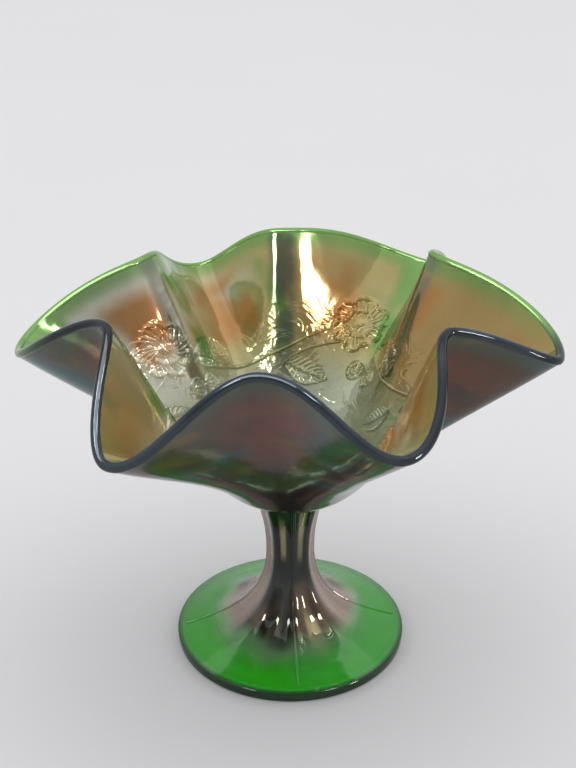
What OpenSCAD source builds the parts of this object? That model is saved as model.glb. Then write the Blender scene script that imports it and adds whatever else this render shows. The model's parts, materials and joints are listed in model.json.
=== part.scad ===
// Footed glass bowl with a ruffled rim, an eight-sided stem and a domed foot.
// Azimuth 0 is the front (-Y), and it grows towards +X. The origin is under the foot, on the stem's axis.

/* [Bowl] */
// Outer radius of the round dish at the bottom of the bowl
dish_r = 38; // [37:1:39]
// Height of the dish's centre of curvature above the table
dish_z = 98; // [98:0.5:99]
// Glass thickness of the dish
dish_wall = 4; // [3:0.5:4.5]
// Glass thickness just below the rim
rim_wall = 2.8; // [2:0.2:3.4]
// Radius of the rounded bead along the rim
bead_r = 1.7; // [1.5:0.1:2]

/* [Ruffles] */
// Azimuth of each lobe, where the rim swings out and down
lobe_az = [24, 76, 144, 204, 268, 321]; // [0:1:360]
// Distance of each lobe's tip from the axis
lobe_r = [84.5, 91.5, 92, 87, 94, 90]; // [80:0.5:98]
// Height of each lobe's tip
lobe_z = [122, 128, 120, 117, 119.5, 116]; // [112:0.5:132]
// Azimuth of each crest, where the rim folds in and up
crest_az = [57, 120, 182, 236, 301, 353]; // [0:1:360]
// Distance of each crest from the axis
crest_r = [59.5, 60, 72, 64, 68.5, 74]; // [55:0.5:78]
// Height of each crest
crest_z = [142, 142, 134.5, 138.5, 146, 148]; // [130:0.5:152]
// How much higher the rim runs between a lobe and a crest than a plain wave would
shoulder_z = 2.2; // [0:0.2:5]
// How much further in the rim runs between a lobe and a crest than a plain wave would
shoulder_r = 0.2; // [0:0.1:3]

/* [Stem] */
// Radius of the stem's waist, at its arrises
waist_r = 8.6; // [7.5:0.1:10]
// Height of the waist
waist_z = 38; // [34:1:42]
// Radius of the stem's flared top
stem_top_r = 12.6; // [12:0.2:13]
// Height of the stem's flared top
stem_top_z = 60.6; // [60:0.2:60.8]
// Number of arrises
arrises = 8; // [6:1:10]
// Depth of the flat panels, as a share of the stem's radius
panel_depth = 0.1; // [0.05:0.01:0.14]

/* [Foot] */
// Foot diameter
foot_d = 86; // [80:1:92]
// Thickness of the foot's rounded rim
foot_rim_t = 4.4; // [4:0.2:5]
// Height of the hollow under the foot
foot_hollow = 9; // [4:0.5:10]
// Radius at which the stem's own glass starts
stem_root_r = 20; // [18:0.5:24]

/* [Mould seams] */
// Azimuth of the first mould seam
seam_az = 4; // [0:1:44]
// Number of mould seams
seams = 4; // [4:1:4]
// Width of a seam
seam_w = 0.9; // [0.5:0.1:1.4]
// Height of a seam above the glass
seam_h = 0.35; // [0.2:0.05:0.6]

/* [Raised pattern] */
// Number of flower sprays inside the bowl
sprays = 4; // [4:1:4]
// Azimuth of the first spray's flower
spray_az = 64; // [0:1:89]
// Height of the pattern above the glass
relief_h = 1.1; // [0.6:0.1:1.6]
// Radius of a flower head, across the bowl
flower_r = 10; // [8:0.5:11]
// How many times taller a flower head is than it is wide
flower_tall = 1.3; // [1:0.1:1.4]
// Radius of a bud
bud_r = 4.6; // [3.5:0.1:5]
// Width of a leaf
leaf_w = 11; // [8:0.5:12]

/* [Hidden] */
LEAVES = 4;
BUDS = 2;

mid_r = dish_r - dish_wall / 2;
dish_edge = 46;
dish_arc = mid_r * dish_edge * PI / 180;
wall_arc = 80;
steps_round = 96;
steps_up = 13;
bead_steps = 8;
foot_steps = 72;
rim_in = 2.5;
edge_round = 0.9;
ring_z = 62.4;
ring_angle = acos((dish_z - ring_z) / dish_r);
ring_r = dish_r * sin(ring_angle);
sink = 0.1;
tiny = 0.01;
bead_lift = 0.35;
collar_bulge = 0.8;
collar_rise = 0.9;
panels_end_r = 33;
panels_fade = 10;
hollow_lift = 0.5;
rim_drop = 0.6;

// The raised pattern's map: the flower's distance up the bowl's inner face, and the radius there
pattern_arc = 75;
pattern_r = 52;
bud_at = [[-6, -19], [-15, -20]];
leaf_base = [[26, -18], [-11, -7], [50, -14], [38, -25]];
leaf_tip = [[5, -25], [-25, -14], [64, -2], [50, -36]];
branch_curve = [[62, -14], [34, -22], [24, -11], [8, -4]];
stalk_curve = [[30, -26], [27, -13], [14, -14], [2, -8]];
branch_w = [2.2, 1.3];
stalk_w = [1.6, 1];
flower_petals = 6;
flower_dip = 0.16;
bud_petals = 3;
bud_dip = 0.1;

// ---- small helpers ----

function mix(a, b, t) = a * (1 - t) + b * t;
function wave(t) = (1 - cos(180 * t)) / 2;
function unit(v) = v / norm(v);
function around(az, r, z) = [r * sin(az), -r * cos(az), z];
function bezier(p, t) =
    pow(1 - t, 3) * p[0] + 3 * t * pow(1 - t, 2) * p[1] + 3 * t * t * (1 - t) * p[2] + pow(t, 3) * p[3];

// A solid that runs right round: each section is one closed outline
module loop_solid(sections) {
    n = len(sections);
    m = len(sections[0]);
    polyhedron(
        points = [for (s = sections) each s],
        faces = [
            for (i = [0:n - 1]) for (j = [0:m - 1])
                let (a = i * m, b = ((i + 1) % n) * m, k = (j + 1) % m)
                    each [[a + j, b + j, b + k], [a + j, b + k, a + k]]
        ]
    );
}

// A solid with two ends: each section is one closed outline, and the ends are capped
module bar_solid(sections) {
    n = len(sections);
    m = len(sections[0]);
    polyhedron(
        points = [for (s = sections) each s],
        faces = concat(
            [for (i = [0:n - 2]) for (j = [0:m - 1])
                let (a = i * m, b = a + m, k = (j + 1) % m)
                    each [[a + j, b + j, b + k], [a + j, b + k, a + k]]],
            [for (j = [1:m - 2]) [0, j, j + 1]],
            [for (j = [1:m - 2]) [(n - 1) * m, (n - 1) * m + j + 1, (n - 1) * m + j]]
        )
    );
}

// ---- the bowl's surface ----

station_az = [for (k = [0:5]) each [lobe_az[k], crest_az[k]]];
station_r = [for (k = [0:5]) each [lobe_r[k], crest_r[k]]];
station_z = [for (k = [0:5]) each [lobe_z[k], crest_z[k]]];
function turned(az) = station_az[0] + (az - station_az[0] + 720) % 360;
function station(i) = i < 12 ? station_az[i] : station_az[0] + 360;
function station_of(a) = [for (i = [0:11]) if (a >= station(i) && a < station(i + 1)) i][0];

// Radius and height of the rim at an azimuth
function rim(az) =
    let (
        a = turned(az),
        i = station_of(a),
        j = (i + 1) % 12,
        t = (a - station(i)) / (station(i + 1) - station(i)),
        s = pow(sin(180 * t), 2)
    )
    [mix(station_r[i], station_r[j], wave(t)) - shoulder_r * s,
     mix(station_z[i], station_z[j], wave(t)) + shoulder_z * s];

// Middle of the glass: up = 0 at the bottom, 1 at the dish's edge, 2 at the rim
function middle(az, up) =
    up <= 1
        ? around(az, mid_r * sin(dish_edge * up), dish_z - mid_r * cos(dish_edge * up))
        : let (
            p0 = [mid_r * sin(dish_edge), dish_z - mid_r * cos(dish_edge)],
            p3 = rim(az),
            pull = norm(p3 - p0) / 3,
            p1 = p0 + pull * [cos(dish_edge), sin(dish_edge)],
            p2 = p3 - pull * unit(p3 - p0),
            p = bezier([p0, p1, p2, p3], up - 1)
        )
        around(az, p[0], p[1]);

// Direction that points into the bowl, square to the glass
function inward(az, up) =
    up <= 1
        ? unit([0, 0, dish_z] - middle(az, up))
        : unit(cross(
            middle(az, min(2, up + tiny)) - middle(az, up - tiny),
            middle(az + 0.5, up) - middle(az - 0.5, up)
        ));

function half_wall(up) = mix(dish_wall, rim_wall, max(0, up - 1)) / 2;
function inside(az, up, h) = middle(az, up) + (half_wall(up) + h) * inward(az, up);
function outside(az, up) = middle(az, up) - half_wall(up) * inward(az, up);

module bowl_dish() {
    color([0.55, 0.6, 0.4])
    rotate_extrude($fn = steps_round)
    polygon([
        [0, ring_z],
        each [for (a = [ring_angle : 4 : dish_edge - 1]) [dish_r * sin(a), dish_z - dish_r * cos(a)]],
        [dish_r * sin(dish_edge), dish_z - dish_r * cos(dish_edge)],
        each [for (a = [dish_edge : -4 : 2])
            [(dish_r - dish_wall) * sin(a), dish_z - (dish_r - dish_wall) * cos(a)]],
        [0, dish_z - dish_r + dish_wall]
    ]);
}

module bowl_wall() {
    color([0.62, 0.52, 0.3])
    loop_solid([
        for (i = [0:steps_round - 1])
            let (az = i * 360 / steps_round)
                concat(
                    [for (j = [0:steps_up]) outside(az, 1 + j / steps_up)],
                    [for (j = [steps_up:-1:0]) inside(az, 1 + j / steps_up, 0)]
                )
    ]);
}

// The bead is a round lip on the wall's end face, so it starts and ends on that face's two edges
module rim_bead() {
    color([0.12, 0.16, 0.22])
    loop_solid([
        for (i = [0:steps_round - 1])
            let (
                az = i * 360 / steps_round,
                c = middle(az, 2),
                n = inward(az, 2),
                lip = unit(cross(middle(az + 0.5, 2) - middle(az - 0.5, 2), n))
            )
                concat(
                    [c + rim_wall / 2 * n],
                    [for (j = [0:bead_steps]) let (a = j * 180 / bead_steps)
                        c + bead_r * (cos(a) * n + (bead_lift + sin(a)) * lip)],
                    [c - rim_wall / 2 * n]
                )
    ]);
}

// ---- foot and stem ----

foot_edge_r = foot_d / 2 - rim_in;
foot_edge_z = foot_rim_t;
lower = [[foot_edge_r, foot_edge_z], [24, 10], [waist_r, 15.5], [waist_r, waist_z]];
upper = [[waist_r, waist_z], [waist_r, 47.5], [10.3, 54], [stem_top_r, stem_top_z]];
root_t = 0.455;

// Depth of the panels at a radius: none at the foot's edge, all of it on the stem
function panel_at(r) = panel_depth * max(0, min(1, (panels_end_r - r) / panels_fade));

// Point on the glass of the foot or stem, from its outline's radius and height
function faceted(az, p, h = 0) =
    let (a = (az - seam_az + 360) % (360 / arrises) * arrises / 360)
    around(az, p[0] * (1 - panel_at(p[0]) * pow(sin(180 * a), 2)) + h, p[1]);

module base_ring() {
    color([0.16, 0.22, 0.16])
    rotate_extrude($fn = foot_steps)
    polygon([
        [0, stem_top_z],
        [stem_top_r, stem_top_z],
        each [for (a = [-60:30:60])
            [stem_top_r + collar_bulge * cos(a), stem_top_z + collar_rise + collar_bulge * sin(a)]],
        [ring_r, ring_z],
        [0, ring_z]
    ]);
}

module stem() {
    color([0.13, 0.18, 0.13])
    bar_solid([
        for (t = [root_t : (1 - root_t) / 9 : 0.999])
            [for (i = [0:foot_steps - 1]) faceted(-i * 360 / foot_steps, bezier(lower, t))],
        for (t = [0 : 0.125 : 1])
            [for (i = [0:foot_steps - 1]) faceted(-i * 360 / foot_steps, bezier(upper, t))]
    ]);
}

module foot() {
    color([0.2, 0.6, 0.22])
    bar_solid([
        for (r = [1 : (foot_edge_r - 1) / 6 : foot_edge_r + 0.01])
            [for (i = [0:foot_steps - 1])
                around(i * 360 / foot_steps, r, hollow_lift + foot_hollow * pow(cos(90 * r / foot_edge_r), 2))],
        for (t = [0 : root_t / 7 : root_t + 0.001])
            [for (i = [0:foot_steps - 1]) faceted(i * 360 / foot_steps, bezier(lower, t))]
    ]);
}

module foot_rim() {
    color([0.08, 0.2, 0.1])
    rotate_extrude($fn = foot_steps)
    polygon([
        [foot_edge_r, hollow_lift],
        [foot_edge_r + 0.3, 0],
        each [for (a = [-90:30:0]) [foot_d / 2 - edge_round + edge_round * cos(a), edge_round * (1 + sin(a))]],
        each [for (a = [0:15:75]) [foot_d / 2 - edge_round + edge_round * cos(a),
            foot_edge_z - rim_drop - edge_round * (1 - sin(a))]],
        [foot_edge_r, foot_edge_z]
    ]);
}

module mould_seam(k) {
    az = seam_az + 360 / seams * (k - 1);
    path = concat(
        [for (t = [0.02 : 0.1 : 0.95]) bezier(lower, t)],
        [for (t = [0 : 0.2 : 1]) bezier(upper, t)]
    );
    color([0.1, 0.2, 0.12])
    bar_solid([
        for (p = path)
            let (half = seam_w / 2 / p[0] * 180 / PI, rise = seam_h * [sin(az), -cos(az), 1])
                [faceted(az - half, p, -sink), faceted(az + half, p, -sink),
                 faceted(az + half / 3, p) + rise, faceted(az - half / 3, p) + rise]
    ]);
}

// ---- raised pattern ----

// Each spray has its own flat map on the bowl's inner face, in mm: x grows with the azimuth and y
// grows up the wall, and the flower's centre is at 0, 0
function on_bowl(k, p, h) =
    let (arc = pattern_arc + p[1])
    inside(
        spray_az + 360 / sprays * (k - 1) + p[0] / pattern_r * 180 / PI,
        arc < dish_arc ? arc / dish_arc : 1 + (arc - dish_arc) / wall_arc,
        h
    );

function side(d) = unit([-d[1], d[0]]);

module relief_disc(k, centre, r, tall, petals, dip) {
    steps = petals * 6;
    dome = [[0.12, 0.7], [0.4, 1], [0.7, 0.95], [0.92, 0.7]];
    function edge(b) = r * (1 - dip + dip * pow(abs(sin(b * petals / 2)), 0.8));
    function ring(q, h) = [for (i = [0:steps - 1]) let (b = i * 360 / steps)
        on_bowl(k, centre + q * edge(b) * [cos(b), tall * sin(b)], h)];
    bar_solid([
        for (d = dome) ring(d[0], relief_h * d[1]),
        ring(1, -sink),
        ring(dome[0][0], -sink)
    ]);
}

// A leaf that runs from its base to its tip, highest along its midrib
module relief_leaf(k, base, tip, width) {
    s = side(tip - base);
    bar_solid([
        for (t = [0.02 : 0.12 : 0.98])
            let (w = (width / 2 * pow(sin(180 * pow(t, 0.8)), 0.8) + 0.15) * s, p = mix(base, tip, t))
                [on_bowl(k, p - w, -sink), on_bowl(k, p + w, -sink), on_bowl(k, p + w, relief_h * 0.4),
                 on_bowl(k, p, relief_h), on_bowl(k, p - w, relief_h * 0.4)]
    ]);
}

// A round ridge along one smooth curve with four control points
module relief_twig(k, curve, width) {
    bar_solid([
        for (t = [0 : 0.08 : 1])
            let (
                p = bezier(curve, t),
                s = side(bezier(curve, t + tiny) - bezier(curve, t - tiny)) * mix(width[0], width[1], t) / 2
            )
                [on_bowl(k, p - s, -sink), on_bowl(k, p + s, -sink),
                 on_bowl(k, p + s * 0.5, relief_h * 0.7), on_bowl(k, p - s * 0.5, relief_h * 0.7)]
    ]);
}

module flower(k) {
    color([0.7, 0.72, 0.5])
    relief_disc(k, [0, 0], flower_r, flower_tall, flower_petals, flower_dip);
}

module bud(k, j) {
    color([0.6, 0.62, 0.42])
    relief_disc(k, bud_at[j - 1], bud_r, 1, bud_petals, bud_dip);
}

module branch(k) {
    color([0.5, 0.55, 0.35])
    relief_twig(k, branch_curve, branch_w);
}

module stalk(k) {
    color([0.5, 0.55, 0.35])
    relief_twig(k, stalk_curve, stalk_w);
}

module leaf(k, j) {
    color([0.58, 0.6, 0.36])
    relief_leaf(k, leaf_base[j - 1], leaf_tip[j - 1], leaf_w);
}

bowl_dish();
bowl_wall();
rim_bead();
base_ring();
stem();
foot();
foot_rim();
for (i = [1:seams]) mould_seam(i);
for (i = [1:sprays]) flower(i);
for (i = [1:sprays]) for (j = [1:BUDS])
    bud(i, j);
for (i = [1:sprays]) branch(i);
for (i = [1:sprays]) stalk(i);
for (i = [1:sprays]) for (j = [1:LEAVES])
    leaf(i, j);
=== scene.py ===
"""Looks for the footed glass bowl: ruffled iridescent bowl, eight-sided stem and domed green foot.

Lengths in the tables below are millimetres, as in part.scad. Azimuth 0 is the front (-Y) and it
grows towards +X. Every mesh is made in the CAD frame, in metres.
"""
import json
import math

import bpy
import numpy as np
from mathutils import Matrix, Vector

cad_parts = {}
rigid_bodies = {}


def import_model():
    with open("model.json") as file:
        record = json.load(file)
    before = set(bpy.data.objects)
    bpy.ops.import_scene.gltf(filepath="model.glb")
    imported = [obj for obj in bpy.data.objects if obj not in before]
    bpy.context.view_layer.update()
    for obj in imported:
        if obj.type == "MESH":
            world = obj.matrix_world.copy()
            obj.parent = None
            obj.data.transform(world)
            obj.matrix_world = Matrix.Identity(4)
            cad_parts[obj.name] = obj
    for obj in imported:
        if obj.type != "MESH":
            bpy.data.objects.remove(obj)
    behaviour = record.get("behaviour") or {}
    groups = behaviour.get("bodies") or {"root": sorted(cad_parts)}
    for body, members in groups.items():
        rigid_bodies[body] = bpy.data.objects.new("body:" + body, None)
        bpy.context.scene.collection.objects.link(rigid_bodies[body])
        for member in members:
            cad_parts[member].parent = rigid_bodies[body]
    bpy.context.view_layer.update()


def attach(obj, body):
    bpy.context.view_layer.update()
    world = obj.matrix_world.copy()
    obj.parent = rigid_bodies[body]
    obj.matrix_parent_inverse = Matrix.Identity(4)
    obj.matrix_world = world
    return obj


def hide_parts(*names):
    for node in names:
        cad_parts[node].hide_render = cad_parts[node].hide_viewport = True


MM = 0.001

# ---- driving dimensions, as in part.scad ----
# The bowl's round dish: its outer radius and the height of its centre of curvature, then the
# thickness of the glass there and just below the rim
DISH_R, DISH_Z, DISH_WALL, RIM_WALL = 38, 98, 4, 2.8
# The bead along the rim: its radius, and how far its centre is lifted, as a share of that radius
BEAD_R, BEAD_LIFT = 1.7, 0.35
# The rim's lobes, where it swings out and down, and its crests, where it folds in and up
LOBE_AZ = [24, 76, 144, 204, 268, 321]
LOBE_R = [84.5, 91.5, 92, 87, 94, 90]
LOBE_Z = [122, 128, 120, 117, 119.5, 116]
CREST_AZ = [57, 120, 182, 236, 301, 353]
CREST_R = [59.5, 60, 72, 64, 68.5, 74]
CREST_Z = [142, 142, 134.5, 138.5, 146, 148]
# How much higher and how much further in the rim runs between them than a plain wave would
SHOULDER_Z, SHOULDER_R = 2.2, 0.2
# The stem's waist and its flared top
WAIST_R, WAIST_Z, STEM_TOP_R, STEM_TOP_Z = 8.6, 38, 12.6, 60.6
# The stem's flat panels: how many, and how deep as a share of the radius
ARRISES, PANEL_DEPTH = 8, 0.1
# The radius on the foot where the panels end, and the distance over which they fade out
PANELS_END_R, PANELS_FADE = 33, 10
# The rounded ring between the stem and the bowl
COLLAR_BULGE, COLLAR_RISE = 0.8, 0.9
# The foot: its diameter, and the thickness and width of its rim
FOOT_D, FOOT_RIM_T, RIM_IN = 86, 4.4, 2.5
# The hollow under the foot: its height, and how far above the table it starts
FOOT_HOLLOW, HOLLOW_LIFT = 9, 0.5
# The foot's rounded edge: its radius, and how far under the rim's top it ends
EDGE_ROUND, RIM_DROP = 0.9, 0.6
# The mould seams up the foot and the stem
SEAM_AZ, SEAMS, SEAM_W, SEAM_H = 4, 4, 0.9, 0.35
# The raised flower sprays: how many, the first flower's azimuth, and their height above the glass
SPRAYS, SPRAY_AZ, RELIEF_H = 4, 64, 1.1
# A spray's flat map: the flower's distance up the bowl's inner face and the radius there, and about
# how long the wall is from the dish's edge to the rim
PATTERN_ARC, PATTERN_R, WALL_ARC = 75, 52, 80
# A spray's pieces, placed on its flat map
FLOWER_R, FLOWER_TALL, FLOWER_PETALS, FLOWER_DIP = 10, 1.3, 6, 0.16
BUD_R, BUD_PETALS, BUD_DIP, LEAF_W = 4.6, 3, 0.1, 11
BUD_AT = [(-6, -19), (-15, -20)]
LEAF_BASE = [(26, -18), (-11, -7), (50, -14), (38, -25)]
LEAF_TIP = [(5, -25), (-25, -14), (64, -2), (50, -36)]
BRANCH = [(62, -14), (34, -22), (24, -11), (8, -4)]
STALK = [(30, -26), (27, -13), (14, -14), (2, -8)]
BRANCH_W, STALK_W = (2.2, 1.3), (1.6, 1)
# The height where the bowl starts, the share of the lower curve where the stem starts, and how far
# the edges of raised pieces sink into the glass
RING_Z, ROOT_T, SINK = 62.4, 0.455, 0.1

# The dish in the middle of its glass: its radius, and its edge's angle and distance from the bottom
MID_R = DISH_R - DISH_WALL / 2
DISH_EDGE = math.radians(46)
DISH_ARC = MID_R * DISH_EDGE
RING_ANGLE = math.acos((DISH_Z - RING_Z) / DISH_R)
FOOT_EDGE_R = FOOT_D / 2 - RIM_IN
# Control points of the outline's two curves: from the foot's edge to the waist, and on up the stem
LOWER = [(FOOT_EDGE_R, FOOT_RIM_T), (24, 10), (WAIST_R, 15.5), (WAIST_R, WAIST_Z)]
UPPER = [(WAIST_R, WAIST_Z), (WAIST_R, 47.5), (10.3, 54), (STEM_TOP_R, STEM_TOP_Z)]

# ---- values that only the looks need ----
# Points round each ring of the glass, the same on every piece so that their edges meet
ROUND = 576
# Half the width, in degrees, of the dark ridge where the glass folds at a crest
FOLD_HALF = 5
# The smooth rim here would stand a little proud of the CAD's flats, so it is held in by this much
TRIM = 0.3
# Wide lustre panels inside the bowl: how many, the azimuth of one panel's middle, and how far in
# degrees their edges wander
PANELS, PANEL_AZ, PANEL_WANDER = 9, 164, 34
# Azimuths of the bowl's most silvery side, partly a painted reflection, and its plain golden side, inside
SILVER_AZ, GOLD_AZ = 262, 82
# Rose patches outside the bowl: how many, and the azimuth of one of them
ROSES, ROSE_AZ = 6, -5


# ---- the glass surface, as in part.scad ----
def mix(a, b, t):
    return a * (1 - t) + b * t


def around(az, r, z):
    a = np.radians(az)
    return np.stack(np.broadcast_arrays(r * np.sin(a), -r * np.cos(a), z), -1)


def bezier(p, t):
    p = np.asarray(p, float)
    t = np.asarray(t, float)[..., None]
    return (1 - t) ** 3 * p[0] + 3 * t * (1 - t) ** 2 * p[1] + 3 * t * t * (1 - t) * p[2] + t**3 * p[3]


def unit(v):
    return v / np.linalg.norm(v, axis=-1, keepdims=True)


def stations(lobes, crests):
    """Lobes and crests in turn, as they come round the rim."""
    return np.array([v for pair in zip(lobes, crests) for v in pair], float)


STATION_AZ = np.append(stations(LOBE_AZ, CREST_AZ), LOBE_AZ[0] + 360)
STATION_R = stations(LOBE_R, CREST_R)
STATION_Z = stations(LOBE_Z, CREST_Z)
STATIONS = len(STATION_R)


def rim(az):
    """Radius and height of the rim at an azimuth."""
    a = LOBE_AZ[0] + (np.asarray(az, float) - LOBE_AZ[0]) % 360
    i = np.clip(np.searchsorted(STATION_AZ, a, side="right") - 1, 0, STATIONS - 1)
    j = (i + 1) % STATIONS
    t = (a - STATION_AZ[i]) / (STATION_AZ[i + 1] - STATION_AZ[i])
    w = (1 - np.cos(math.pi * t)) / 2
    s = np.sin(math.pi * t) ** 2
    return (mix(STATION_R[i], STATION_R[j], w) - SHOULDER_R * s - TRIM,
            mix(STATION_Z[i], STATION_Z[j], w) + SHOULDER_Z * s - TRIM)


def middle(az, up):
    """Middle of the glass: up is 0 at the bottom, 1 at the dish's edge and 2 at the rim."""
    az, up = np.broadcast_arrays(np.asarray(az, float), np.asarray(up, float))
    angle = DISH_EDGE * np.minimum(up, 1)
    p0 = np.array([MID_R * math.sin(DISH_EDGE), DISH_Z - MID_R * math.cos(DISH_EDGE)])
    p3 = np.stack(rim(az), -1)
    reach = np.linalg.norm(p3 - p0, axis=-1, keepdims=True)
    p1 = p0 + reach / 3 * np.array([math.cos(DISH_EDGE), math.sin(DISH_EDGE)])
    p2 = p3 - (p3 - p0) / 3
    t = np.clip(up - 1, 0, 1)[..., None]
    wall = (1 - t) ** 3 * p0 + 3 * t * (1 - t) ** 2 * p1 + 3 * t * t * (1 - t) * p2 + t**3 * p3
    r = np.where(up <= 1, MID_R * np.sin(angle), wall[..., 0])
    z = np.where(up <= 1, DISH_Z - MID_R * np.cos(angle), wall[..., 1])
    return around(az, r, z)


def inward(az, up):
    """Direction that points into the bowl, square to the glass."""
    up = np.maximum(up, 0.02)
    along = middle(az, np.minimum(2, up + 0.01)) - middle(az, up - 0.01)
    return unit(np.cross(along, middle(az + 0.5, up) - middle(az - 0.5, up)))


def half_wall(up):
    return mix(DISH_WALL, RIM_WALL, np.clip(up - 1, 0, 1)) / 2


def inside(az, up, h=0.0):
    """A point on the bowl's inner face, or h above it."""
    return middle(az, up) + (half_wall(up) + h)[..., None] * inward(az, up)


def outside(az, up):
    return middle(az, up) - half_wall(up)[..., None] * inward(az, up)


def fold(az):
    """1 on the ridge of a crest and 0 away from it."""
    gap = (np.asarray(az)[..., None] - np.array(CREST_AZ) + 180) % 360 - 180
    return np.exp(-((gap / FOLD_HALF) ** 2)).sum(-1)


def height_up(y):
    """How far up the bowl a height on a spray's flat map is, as in middle()."""
    arc = PATTERN_ARC + y
    return np.where(arc < DISH_ARC, arc / DISH_ARC, 1 + (arc - DISH_ARC) / WALL_ARC)


def azimuth_of(k, x):
    return SPRAY_AZ + 360 / SPRAYS * (k - 1) + np.degrees(x / PATTERN_R)


def on_bowl(k, x, y, h):
    """A point of spray k's flat map, laid on the bowl's inner face."""
    return inside(azimuth_of(k, x), height_up(y), h)


def faceted(az, p):
    """A point on the foot or stem, from its outline's radius and height."""
    r, z = p[..., 0], p[..., 1]
    panel = PANEL_DEPTH * np.clip((PANELS_END_R - r) / PANELS_FADE, 0, 1)
    past_arris = np.radians((az - SEAM_AZ) * ARRISES / 2)
    return around(az, r * (1 - panel * np.sin(past_arris) ** 2), z)


# ---- meshes ----
def grid_faces(rows, cols, wrap, first=0):
    """Quads of a grid of points.

    wrap joins its last column to its first one, and first is the index of its first point.
    """
    last = cols if wrap else cols - 1
    i, j = np.meshgrid(np.arange(rows - 1), np.arange(last), indexing="ij")
    k = (j + 1) % cols
    quads = np.stack([i * cols + j, i * cols + k, (i + 1) * cols + k, (i + 1) * cols + j], -1)
    return (quads.reshape(-1, 4) + first).tolist()


def piece(name, sheets, nodes, materials):
    """One smooth mesh, which takes the place of the CAD nodes that are named.

    Each sheet of it is a (grid of points, wraps round, turned over, material index).
    """
    points, faces, indices = [], [], []
    for grid, wrap, flip, index in sheets:
        made = grid_faces(grid.shape[0], grid.shape[1], wrap, len(points))
        faces += [f[::-1] for f in made] if flip else made
        indices += [index] * len(made)
        points += (grid.reshape(-1, 3) * MM).tolist()
    mesh = bpy.data.meshes.new(name)
    mesh.from_pydata(points, [], faces)
    mesh.polygons.foreach_set("material_index", indices)
    mesh.polygons.foreach_set("use_smooth", [True] * len(faces))
    mesh.update()
    for material in materials:
        mesh.materials.append(material)
    obj = bpy.data.objects.new(name, mesh)
    bpy.context.scene.collection.objects.link(obj)
    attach(obj, "root")
    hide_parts(*nodes)
    return obj


def turn(count):
    """Evenly spaced azimuths, once round."""
    return np.arange(count) * 360 / count


def mark(obj, name, *grids):
    """Keep a value for each point, so a material can follow the ruffled rim."""
    values = np.concatenate([np.ravel(g) for g in grids])
    obj.data.attributes.new(name, "FLOAT", "POINT").data.foreach_set("value", values.astype(np.float32))


# ---- materials ----
class Nodes:
    """A short way to write a material's node tree. A step's limits and a noise's scale are set one by one.
    """

    def __init__(self, name):
        self.material = bpy.data.materials.new(name)
        self.material.use_nodes = True
        self.tree = self.material.node_tree
        self.shader = self.tree.nodes["Principled BSDF"]
        coords = self.tree.nodes.new("ShaderNodeTexCoord")
        self.place = coords.outputs["Object"]

    def add(self, kind, inputs, **settings):
        node = self.tree.nodes.new(kind)
        for key, value in settings.items():
            setattr(node, key, value)
        for key, value in inputs.items():
            self.feed(node.inputs[key], value)
        return node

    def feed(self, socket, value):
        if isinstance(value, bpy.types.NodeSocket):
            self.tree.links.new(value, socket)
        else:
            socket.default_value = value

    def math(self, operation, a, b=0.0, clamp=False):
        return self.add("ShaderNodeMath", {0: a, 1: b}, operation=operation, use_clamp=clamp).outputs[0]

    def step(self, value, low, high):
        """0 below low, 1 above high, and smooth between them."""
        node = self.add("ShaderNodeMapRange", {"Value": value, "From Min": low, "From Max": high})
        node.interpolation_type = "SMOOTHSTEP"
        return node.outputs["Result"]

    def blend(self, amount, a, b):
        node = self.tree.nodes.new("ShaderNodeMix")
        node.data_type = "RGBA"
        self.feed(node.inputs["Factor"], amount)
        self.feed(node.inputs["A"], a)
        self.feed(node.inputs["B"], b)
        return node.outputs["Result"]

    def noise(self, scale, detail=2.0, vector=None, distortion=0.0):
        """Noise with features about 1/scale millimetres across."""
        return self.add("ShaderNodeTexNoise", {
            "Vector": vector or self.place, "Scale": scale / MM, "Detail": detail,
            "Distortion": distortion}).outputs["Fac"]

    def stretched(self, x, y, z):
        return self.add("ShaderNodeMapping", {"Vector": self.place, "Scale": (x, y, z)}).outputs["Vector"]

    def axes(self):
        split = self.add("ShaderNodeSeparateXYZ", {"Vector": self.place})
        return split.outputs["X"], split.outputs["Y"], split.outputs["Z"]

    def radius(self):
        x, y, _ = self.axes()
        return self.math("SQRT", self.math("ADD", self.math("MULTIPLY", x, x), self.math("MULTIPLY", y, y)))

    def azimuth(self):
        """Azimuth in degrees, 0 at the front and growing towards +X."""
        x, y, _ = self.axes()
        a = self.math("ARCTAN2", x, self.math("MULTIPLY", y, -1))
        return self.math("MULTIPLY", a, 180 / math.pi)

    def kept(self, name):
        """A value that mark() kept on the mesh."""
        return self.add("ShaderNodeAttribute", {}, attribute_name=name).outputs["Fac"]

    def product(self, first, *rest):
        for value in rest:
            first = self.math("MULTIPLY", first, value)
        return first

    def raised_by(self, base, value, share):
        """A base number, raised by a share of a value."""
        return self.math("ADD", self.math("MULTIPLY", value, share), base)

    def wave(self, degrees, count, offset):
        """A cosine with count crests round the bowl, one of them at the azimuth offset."""
        turned = self.math("SUBTRACT", degrees, offset)
        return self.math("COSINE", self.math("MULTIPLY", turned, count * math.pi / 180))

    def bump(self, height, strength, distance):
        """Low bumps in the glass. Distance is in millimetres."""
        return self.add("ShaderNodeBump", {
            "Height": height, "Strength": strength, "Distance": distance * MM}).outputs["Normal"]

    def finish(self, **values):
        for key, value in values.items():
            self.feed(self.shader.inputs[key.replace("_", " ")], value)
        return self.material


def colour(red, green, blue):
    """A linear colour from the 0 to 255 values that a screen shows."""
    def linear(v):
        v = v / 255
        return v / 12.92 if v <= 0.04045 else ((v + 0.055) / 1.055) ** 2.4
    return (linear(red), linear(green), linear(blue), 1)


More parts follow.
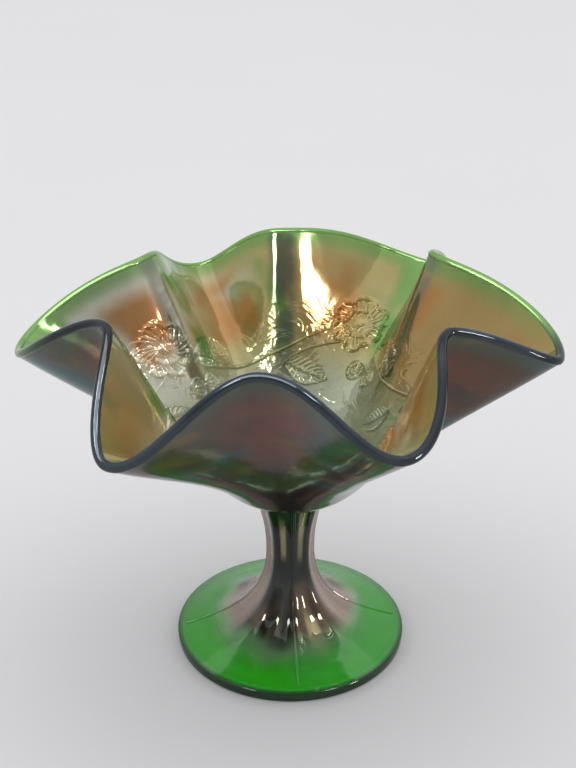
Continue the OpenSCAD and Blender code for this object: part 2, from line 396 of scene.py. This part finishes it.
# The mark up is 0 at the bottom of the bowl, 1 at the dish's edge and 2 at the rim, and the mark
# fold is 1 on the ridge of a crest.
def bowl_inside_material():
    """Golden-olive lustre in wide panels with orange middles and green edges, sage low in the bowl."""
    sage, olive_gold, warm_gold = colour(196, 205, 174), colour(202, 188, 118), colour(196, 160, 88)
    silver, orange, green = colour(250, 250, 228), colour(208, 142, 62), colour(116, 176, 76)
    rim_green, fold_grey = colour(132, 186, 92), colour(112, 122, 108)
    m = Nodes("bowl_inside")
    up = m.kept("up")
    wander = m.math("MULTIPLY", m.math("SUBTRACT", m.noise(0.02), 0.5), PANEL_WANDER)
    panel = m.wave(m.math("ADD", m.azimuth(), wander), PANELS, PANEL_AZ)
    # Silver over the left side: partly the lustre's colour, partly a painted reflection of the room.
    silver_side_and_reflection = m.step(m.wave(m.azimuth(), 1, SILVER_AZ), 0.55, 0.95)
    rightward = m.step(m.wave(m.azimuth(), 1, GOLD_AZ), 0.6, 0.95)
    not_right = m.math("SUBTRACT", 1, rightward)

    patches = m.product(m.step(m.noise(0.018), 0.52, 0.7), not_right, 0.5)
    gold = m.blend(m.product(rightward, 0.8), olive_gold, warm_gold)
    gold = m.blend(m.math("ADD", patches, silver_side_and_reflection, True), gold, silver)
    band = m.product(m.step(up, 1.42, 1.6), m.step(up, 1.94, 1.82), m.step(m.noise(0.04), 0.22, 0.5))
    gold = m.blend(m.product(m.step(panel, -0.25, 0.7), band, 0.92), gold, orange)
    edges = m.product(m.step(panel, -0.6, -0.98), m.step(up, 1.3, 1.5), m.step(m.noise(0.035), 0.34, 0.52))
    gold = m.blend(m.product(edges, not_right, 0.9), gold, green)
    tint = m.blend(m.step(up, 1.2, 1.5), sage, gold)
    # Painted light coming through: the inner face turns green just under the rim, at the back only.
    _, y, _ = m.axes()
    backlit_rim_edge = m.product(m.step(up, 1.9, 1.985), m.step(y, -20 * MM, 20 * MM))
    tint = m.blend(m.product(backlit_rim_edge, 0.8), tint, rim_green)
    folded = m.product(m.step(m.kept("fold"), 0.25, 0.9), m.step(up, 1.15, 1.45))
    ridge = m.product(folded, m.step(m.noise(0.1, 3), 0.2, 0.5))
    tint = m.blend(m.product(ridge, 0.75), tint, fold_grey)

    patterned = m.product(m.step(up, 1.02, 1.15), m.step(up, 1.72, 1.55))
    veined = m.product(m.noise(0.13, distortion=1.5), patterned, 0.9)
    pressed = m.math("ADD", m.noise(0.07, vector=m.stretched(1, 1, 0.35)), veined)
    dulled = m.step(m.noise(0.06, 3, m.stretched(1, 1, 0.3)), 0.35, 0.65)
    return m.finish(
        Base_Color=tint, Metallic=m.raised_by(0.3, ridge, 0.3), Transmission_Weight=0.68,
        Roughness=m.raised_by(0.07, dulled, 0.07), Normal=m.bump(pressed, 0.4, 1.2), IOR=1.55)


def bowl_outside_material():
    """Dusky brown lustre with rose, teal and amber patches, plain brown low down, greener at the rim."""
    dusk, rose, teal = colour(84, 72, 62), colour(134, 74, 74), colour(48, 100, 110)
    amber, low_brown, rim_green = colour(138, 106, 62), colour(68, 56, 58), colour(70, 96, 84)
    m = Nodes("bowl_outside")
    up = m.kept("up")
    crest = m.wave(m.azimuth(), ROSES, ROSE_AZ)
    ragged_crest = m.math("ADD", crest, m.math("MULTIPLY", m.noise(0.045, 3), 2.6))
    rosy = m.product(m.step(ragged_crest, 1.1, 2.6), m.step(up, 1.4, 1.6), m.step(up, 1.95, 1.8))
    tint = m.blend(m.product(rosy, 0.85), dusk, rose)
    streaks = m.noise(0.022, 2, m.stretched(0.8, 0.8, 1.7), 1.2)
    tint = m.blend(m.product(m.step(streaks, 0.44, 0.64), m.step(crest, 0.95, -0.1), 0.8), tint, teal)
    flecks = m.noise(0.036, 2, m.stretched(0.7, 0.7, 2.0), 1.4)
    tint = m.blend(m.product(m.step(flecks, 0.52, 0.74), 0.6), tint, amber)
    tint = m.blend(m.step(up, 1.5, 1.15), tint, low_brown)
    tint = m.blend(m.product(m.step(up, 1.9, 1.99), 0.5), tint, rim_green)
    return m.finish(
        Base_Color=tint, Metallic=m.raised_by(0.25, m.step(up, 1.5, 1.1), 0.45), Transmission_Weight=0.4,
        Roughness=m.raised_by(0.08, m.noise(0.1), 0.08), Normal=m.bump(m.noise(0.05), 0.35, 1.0),
        IOR=1.5, Specular_IOR_Level=0.25)


def rim_material():
    """Fire-polished edge: painted shade makes it blue-black in front, and painted light coming through
    makes it green at the back.
    """
    blue_black, slate, green = colour(14, 22, 30), colour(44, 56, 64), colour(112, 154, 84)
    m = Nodes("rim_bead")
    _, y, _ = m.axes()
    # Painted shade: blue-black in front. Painted light coming through: green at the back.
    front = m.blend(m.step(m.noise(0.03), 0.4, 0.6), blue_black, slate)
    tint = m.blend(m.step(y, -24 * MM, 2 * MM), front, green)
    return m.finish(
        Base_Color=tint, Metallic=0.35, Transmission_Weight=0.5, Roughness=0.05,
        Normal=m.bump(m.noise(0.1), 0.25, 0.8), IOR=1.55)


def stem_tint(m):
    """Near-black green glass, with brown lustre and painted straw highlights on some panels and lilac on
    two sides.
    """
    near_black, brown, straw = colour(36, 42, 37), colour(112, 88, 66), colour(196, 182, 136)
    lilac = colour(168, 150, 142)
    sides = m.step(m.wave(m.azimuth(), 2, 90), 0.1, 0.8)
    uneven = m.step(m.noise(0.06, 2, m.stretched(1, 1, 0.4)), 0.42, 0.62)
    # Painted highlight: straw down the middle of the panels, broken up by noise.
    panel_middle = m.step(m.wave(m.azimuth(), ARRISES, SEAM_AZ + 180 / ARRISES), 0.2, 0.95)
    painted_panel_highlight = m.product(panel_middle, m.step(m.noise(0.045, 1), 0.35, 0.6), 0.7)
    tint = m.blend(m.product(uneven, 0.6), near_black, brown)
    tint = m.blend(painted_panel_highlight, tint, straw)
    return m.blend(m.product(sides, 0.8), tint, lilac)


def stem_material():
    m = Nodes("stem_glass")
    return m.finish(
        Base_Color=stem_tint(m), Metallic=0.5, Transmission_Weight=0.3, Roughness=0.06,
        Normal=m.bump(m.noise(0.09), 0.3, 0.8), IOR=1.52, Coat_Weight=0.3)


def foot_material():
    """Clear bright green glass with the stem's lustre and painted highlights fading out over it."""
    green, pale_green, haze = colour(72, 214, 44), colour(92, 208, 84), colour(166, 196, 166)
    m = Nodes("foot_glass")
    uneven = m.math("MULTIPLY", m.math("SUBTRACT", m.noise(0.06, 3), 0.5), 14 * MM)
    spread = m.math("ADD", m.radius(), uneven)
    lustre = m.step(spread, 30 * MM, 20 * MM)
    smoke = m.step(spread, 34 * MM, 23 * MM)
    glass = m.blend(m.step(m.noise(0.03), 0.4, 0.64), green, pale_green)
    # The stem's tint brings its painted straw highlights onto the foot near the stem.
    tint = m.blend(lustre, m.blend(m.product(smoke, 0.7), glass, haze), stem_tint(m))
    return m.finish(
        Base_Color=tint, Metallic=m.product(lustre, 0.5),
        Transmission_Weight=m.raised_by(0.74, lustre, -0.44),
        Roughness=m.raised_by(0.04, m.noise(0.1), 0.05), Normal=m.bump(m.noise(0.06), 0.15, 0.8), IOR=1.5)


def foot_rim_material():
    """Thick green edge, dark with painted shade, paler at the back with painted light, bright where it
    meets the foot's top.
    """
    deep, dark = colour(8, 34, 14), colour(18, 62, 26)
    back, bright = colour(34, 110, 44), colour(64, 176, 60)
    m = Nodes("foot_rim_glass")
    _, y, z = m.axes()
    # Painted shade: deep and dark green all round. Painted light coming through: paler at the back.
    tint = m.blend(m.noise(0.05), deep, dark)
    tint = m.blend(m.step(y, -20 * MM, 30 * MM), tint, back)
    tint = m.blend(m.step(z, 3.5 * MM, 4.3 * MM), tint, bright)
    return m.finish(
        Base_Color=tint, Transmission_Weight=0.5, Roughness=0.05,
        Normal=m.bump(m.noise(0.1), 0.1, 0.5), IOR=1.52)


# ---- the object's pieces ----
def levels(low, high, count):
    """How far up the bowl each point of a grid is, the same all the way round."""
    return np.linspace(low, high, count)[:, None] + np.zeros(ROUND)


def shell(name, within, without, inner, outer):
    """The inner and outer sheets of one part of the bowl, from how far up their points are."""
    az = turn(ROUND)[None, :]
    sheets = [(inside(az, within), True, True, 0), (outside(az, without), True, False, 1)]
    obj = piece(name, sheets, [f"bowl_{name}"], [inner, outer])
    mark(obj, "up", within, without)
    mark(obj, "fold", fold(az + 0 * within), fold(az + 0 * without))


def bowl_pieces(inner, outer):
    """The round dish at the bottom, whose outside starts at the collar, and the ruffled wall above it."""
    shell("dish", levels(0, 1, 30), levels(RING_ANGLE / DISH_EDGE, 1, 24), inner, outer)
    shell("wall", levels(1, 2, 60), levels(1, 2, 60), inner, outer)


def rim_piece(glass):
    """A rounded bead all along the rim, which starts and ends on the wall's two faces."""
    az = turn(ROUND)
    top = np.full(ROUND, 2.0)
    centre, n = middle(az, top), inward(az, top)
    lip = unit(np.cross(middle(az + 0.5, top) - middle(az - 0.5, top), n))
    arc = np.radians(np.linspace(0, 180, 19))[:, None, None]
    bead = centre + BEAD_R * (np.cos(arc) * n + (BEAD_LIFT + np.sin(arc)) * lip)
    inner_edge, outer_edge = [(centre + side * RIM_WALL / 2 * n)[None] for side in (1, -1)]
    sheet = np.concatenate([inner_edge, bead, outer_edge])
    piece("rim", [(sheet, True, True, 0)], ["rim_bead"], [glass])


def revolved(outline):
    """An outline of radius and height, turned round the stem's axis."""
    outline = np.asarray(outline, float)
    return around(turn(ROUND)[None, :], outline[:, :1], outline[:, 1:])


def stem_outline(start, lower_points):
    """The outline of the foot and stem, from a share of the lower curve up to the stem's top."""
    upper = bezier(UPPER, np.linspace(0, 1, 40)[1:])
    return np.concatenate([bezier(LOWER, np.linspace(start, 1, lower_points)), upper])


def stem_piece(glass):
    shaft = faceted(turn(ROUND)[None, :], stem_outline(ROOT_T, 60)[:, None, :])
    piece("stem_shaft", [(shaft, True, False, 0)], ["stem"], [glass])


def collar_piece(glass):
    """The rounded ring between the stem and the bowl."""
    outline = [(STEM_TOP_R, STEM_TOP_Z)]
    middle_z = STEM_TOP_Z + COLLAR_RISE
    outline += [(STEM_TOP_R + COLLAR_BULGE * math.cos(a), middle_z + COLLAR_BULGE * math.sin(a))
                for a in np.radians(np.arange(-60, 61, 10))]
    outline += [(DISH_R * math.sin(RING_ANGLE), RING_Z)]
    piece("collar", [(revolved(outline), True, False, 0)], ["base_ring"], [glass])


def foot_piece(glass):
    """The foot's domed top and the hollow under it."""
    dome = faceted(turn(ROUND)[None, :], bezier(LOWER, np.linspace(0, ROOT_T, 70))[:, None, :])
    r = np.linspace(0.01, FOOT_EDGE_R, 40)
    rise = FOOT_HOLLOW * np.cos(math.pi / 2 * r / FOOT_EDGE_R) ** 2
    hollow = revolved(np.stack([r, HOLLOW_LIFT + rise], -1))
    piece("foot_dome", [(dome, True, False, 0), (hollow, True, False, 0)], ["foot"], [glass])


def foot_rim_piece(glass):
    """The foot's rounded edge, which the object stands on."""
    bevel = 0.3
    corner = FOOT_D / 2 - EDGE_ROUND
    low_z, high_z = EDGE_ROUND, FOOT_RIM_T - RIM_DROP - EDGE_ROUND
    outline = [(FOOT_EDGE_R, HOLLOW_LIFT), (FOOT_EDGE_R + bevel, 0)]
    for first, last, z in ((-90, 0, low_z), (0, 75, high_z)):
        outline += [(corner + EDGE_ROUND * math.cos(a), z + EDGE_ROUND * math.sin(a))
                    for a in np.radians(np.arange(first, last + 1, 15))]
    outline += [(FOOT_EDGE_R, FOOT_RIM_T)]
    piece("foot_edge", [(revolved(outline), True, False, 0)], ["foot_rim"], [glass])


def seam_pieces(glass):
    """Low round ridges up the foot and the stem, where the parts of the mould met."""
    just_inside_edge = 0.02
    path = stem_outline(just_inside_edge, 90)
    half = math.degrees(SEAM_W / 2) / path[:, 0]
    for k in range(SEAMS):
        az = SEAM_AZ + 360 / SEAMS * k
        up_and_out = around(az, 1, 1)
        rows = [faceted(az + share * half, path) + SEAM_H * math.cos(math.pi / 2 * share) * up_and_out
                for share in np.linspace(-1, 1, 9)]
        sheet = (np.stack(rows), False, True, 0)
        piece(f"seam_{k + 1}", [sheet], [f"mould_seam_{k + 1}"], [glass])


def raised(name, k, x, y, h, around_it, node, glass):
    """One raised piece of spray k, from a flat map and its height. around_it means that it is a ring."""
    x, y, h = np.broadcast_arrays(x, y, h)
    obj = piece(name, [(on_bowl(k, x, y, h), around_it, not around_it, 0)], [node], [glass])
    mark(obj, "up", height_up(y))
    mark(obj, "fold", fold(azimuth_of(k, x)))


def twig(curve, width):
    """A round ridge that thins along a curve: its flat map and its height."""
    t = np.linspace(0, 1, 80)
    p = bezier(curve, t)
    d = bezier(curve, t + 0.01) - bezier(curve, t - 0.01)
    knobbly = 1 + 0.12 * np.sin(t * 37)
    half = mix(width[0], width[1], t) / 2 * knobbly
    side = unit(np.stack([-d[:, 1], d[:, 0]], -1)) * half[:, None]
    across = np.linspace(-1, 1, 13)[:, None]
    x = p[None, :, 0] + across * side[None, :, 0]
    y = p[None, :, 1] + across * side[None, :, 1]
    taper = np.clip(np.minimum(t, 1 - t) * 12, 0, 1)[None, :]
    top = RELIEF_H * 0.75
    return x, y, top * np.cos(across * math.pi / 2) * taper - SINK * np.abs(across)


def leaf(base, tip, bend):
    """A leaf with a toothed edge, a raised rim and midrib, and slanting veins."""
    tooth_count, tooth_depth = 8, 0.09
    vein_count, vein_slant = 9, 2.2
    base, tip = np.array(base, float), np.array(tip, float)
    t = np.linspace(0.01, 0.99, 110)[None, :]
    s = np.linspace(-1, 1, 41)[:, None]
    along = tip - base
    side = np.array([-along[1], along[0]]) / np.linalg.norm(along)
    teeth = 1 + tooth_depth * np.abs(np.sin(t * tooth_count * math.pi))
    half = (LEAF_W / 2 * np.sin(math.pi * t**0.8) ** 0.8 + 0.1) * teeth
    sway = bend * np.sin(math.pi * t)
    x = base[0] + along[0] * t + (s * half + sway) * side[0]
    y = base[1] + along[1] * t + (s * half + sway) * side[1]
    inner_part = np.clip((1 - np.abs(s)) * 6, 0, 1)
    rim_ridge = np.exp(-(((np.abs(s) - 0.86) / 0.08) ** 2))
    rib = np.exp(-((s * half / 0.45) ** 2))
    veins = np.cos((t * vein_count - np.abs(s) * vein_slant) * math.pi) ** 8
    h = RELIEF_H * (0.18 + 0.45 * rim_ridge + 0.6 * rib + 0.35 * veins) * inner_part
    return x, y, h - SINK * (np.abs(s) > 0.99)


def blossom(centre, r, tall, petals, dip, ray_pairs):
    """A flower head or bud from above: overlapping petals with rolled edges round a raised middle.

    It is tall times as high up the bowl as it is wide, and dip is how far its edge goes in between
    the petals, as a share of its radius r.
    """
    b = np.radians(turn(260))[None, :]
    q = np.linspace(0, 1, 56)[:, None]
    edge = r * (1 - dip + dip * np.abs(np.sin(b * petals / 2)) ** 0.8)
    swirl = b + 0.5 * q
    cleft = 1 - np.abs(np.cos(swirl * petals / 2)) ** 24
    roll = np.exp(-(((q - 0.84 - 0.05 * np.sin(b * petals)) / 0.07) ** 2))
    ring = np.exp(-(((q - 0.46 - 0.05 * np.sin(b * petals + 2)) / 0.06) ** 2))
    rays = np.cos(swirl * ray_pairs) ** 4 * np.clip(q * 3 - 0.5, 0, 1)
    heart = np.exp(-((q / 0.15) ** 2))
    edge_fade = np.clip((1 - q) * 8, 0, 1)
    h = RELIEF_H * (0.15 + (0.5 * roll + 0.4 * ring + 0.25 * rays) * cleft + 0.5 * heart) * edge_fade
    x = centre[0] + q * edge * np.cos(b)
    y = centre[1] + q * edge * tall * np.sin(b)
    return x, y, h - SINK * (q > 0.99)


def spray_pieces(glass):
    for k in range(1, SPRAYS + 1):
        head = blossom((0, 0), FLOWER_R, FLOWER_TALL, FLOWER_PETALS, FLOWER_DIP, 15)
        raised(f"flower_head_{k}", k, *head, True, f"flower_{k}", glass)
        for j, centre in enumerate(BUD_AT, 1):
            bud = blossom(centre, BUD_R, 1, BUD_PETALS, BUD_DIP, 6)
            raised(f"flower_bud_{k}_{j}", k, *bud, True, f"bud_{k}_{j}", glass)
        raised(f"twig_{k}", k, *twig(BRANCH, BRANCH_W), False, f"branch_{k}", glass)
        raised(f"twiglet_{k}", k, *twig(STALK, STALK_W), False, f"stalk_{k}", glass)
        for j, (base, tip) in enumerate(zip(LEAF_BASE, LEAF_TIP), 1):
            blade = leaf(base, tip, 1.2 if j % 2 else -1.2)
            raised(f"leaf_blade_{k}_{j}", k, *blade, False, f"leaf_{k}_{j}", glass)


# ---- studio ----
def camera():
    """Looks down into the bowl from just above its front."""
    looks_down, turned = 28.13, -0.22
    data = bpy.data.cameras.new("camera")
    data.lens = 68.6
    data.sensor_width = 36
    obj = bpy.data.objects.new("camera", data)
    obj.location = (-0.0026, -0.453, 0.349)
    obj.rotation_euler = (math.radians(90 - looks_down), 0, math.radians(turned))
    bpy.context.scene.collection.objects.link(obj)
    bpy.context.scene.camera = obj


def floor():
    """One large pale round sheet, so every side of the bowl can be seen and no corner shows."""
    reach, sides = 9.0, 96
    corners = [(reach * math.cos(a), reach * math.sin(a), 0) for a in np.radians(turn(sides))]
    mesh = bpy.data.meshes.new("floor")
    mesh.from_pydata(corners, [], [tuple(range(sides))])
    obj = bpy.data.objects.new("floor", mesh)
    bpy.context.scene.collection.objects.link(obj)
    m = Nodes("floor")
    tint = m.blend(m.noise(0.004, 3), colour(240, 240, 241), colour(245, 245, 246))
    mesh.materials.append(m.finish(Base_Color=tint, Roughness=0.8, Specular_IOR_Level=0.1))


def light(name, azimuth, elevation, distance, size, power):
    """A soft area light that faces the bowl. Distance and size are in metres, power in watts."""
    data = bpy.data.lights.new(name, "AREA")
    data.shape = "RECTANGLE"
    data.size, data.size_y = size
    data.energy = power
    obj = bpy.data.objects.new(name, data)
    e = math.radians(elevation)
    way = Vector(around(azimuth, math.cos(e), math.sin(e)))
    bowl = Vector((0, 0, 0.1))
    obj.location = bowl + way * distance
    obj.rotation_mode = "QUATERNION"
    obj.rotation_quaternion = way.to_track_quat("Z", "Y")
    bpy.context.scene.collection.objects.link(obj)
    return obj


def surroundings():
    """A pale room with a dim patch high on the camera's side, where the viewer stands."""
    towards_viewer = (0, -0.78, 0.62)
    pale, dim = (0.82, 0.82, 0.83, 1), (0.22, 0.22, 0.23, 1)
    world = bpy.data.worlds.new("room")
    bpy.context.scene.world = world
    world.use_nodes = True
    tree = world.node_tree
    coords = tree.nodes.new("ShaderNodeTexCoord")
    facing = tree.nodes.new("ShaderNodeVectorMath")
    facing.operation = "DOT_PRODUCT"
    facing.inputs[1].default_value = towards_viewer
    tree.links.new(coords.outputs["Generated"], facing.inputs[0])
    ramp = tree.nodes.new("ShaderNodeValToRGB")
    for element, position, shade in zip(ramp.color_ramp.elements, (0.55, 0.95), (pale, dim)):
        element.position = position
        element.color = shade
    tree.links.new(facing.outputs["Value"], ramp.inputs[0])
    background = tree.nodes["Background"]
    tree.links.new(ramp.outputs[0], background.inputs["Color"])
    background.inputs["Strength"].default_value = 1.02


def studio():
    """The camera, the floor, the room and one large soft light over them."""
    camera()
    floor()
    surroundings()
    light("overhead", 0, 88, 2.2, (3.2, 3.0), 17)
    bpy.context.scene.view_settings.view_transform = "Standard"


def shine_only_on(lamps, name, wanted):
    """Link the lamps to the meshes whose names are wanted, so that they light nothing else."""
    receivers = bpy.data.collections.new(name)
    for obj in bpy.context.scene.objects:
        if obj.type == "MESH" and wanted(obj.name):
            receivers.objects.link(obj)
    for lamp in lamps:
        lamp.light_linking.receiver_collection = receivers


def windows():
    """Lamps for the glass to mirror, which leave no bright patch on the floor. The strip is for the rim."""
    panes = [
        light("window_right", 60, 13, 1.2, (0.15, 0.38), 4.2),
        light("window_high_right", 45, 46, 1.1, (0.2, 0.18), 2.6),
        light("window_high_left", -45, 46, 1.1, (0.2, 0.18), 2.0),
    ]
    strip = light("window_strip", -25, 66, 1.2, (1.4, 0.7), 18)
    shine_only_on(panes, "glass", lambda name: name != "floor")
    shine_only_on([strip], "rim", lambda name: name.startswith("rim"))


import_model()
studio()
inner_glass, foot_glass, stem_glass = bowl_inside_material(), foot_material(), stem_material()
bowl_pieces(inner_glass, bowl_outside_material())
rim_piece(rim_material())
stem_piece(stem_glass)
collar_piece(stem_glass)
foot_piece(foot_glass)
foot_rim_piece(foot_rim_material())
seam_pieces(foot_glass)
spray_pieces(inner_glass)
windows()
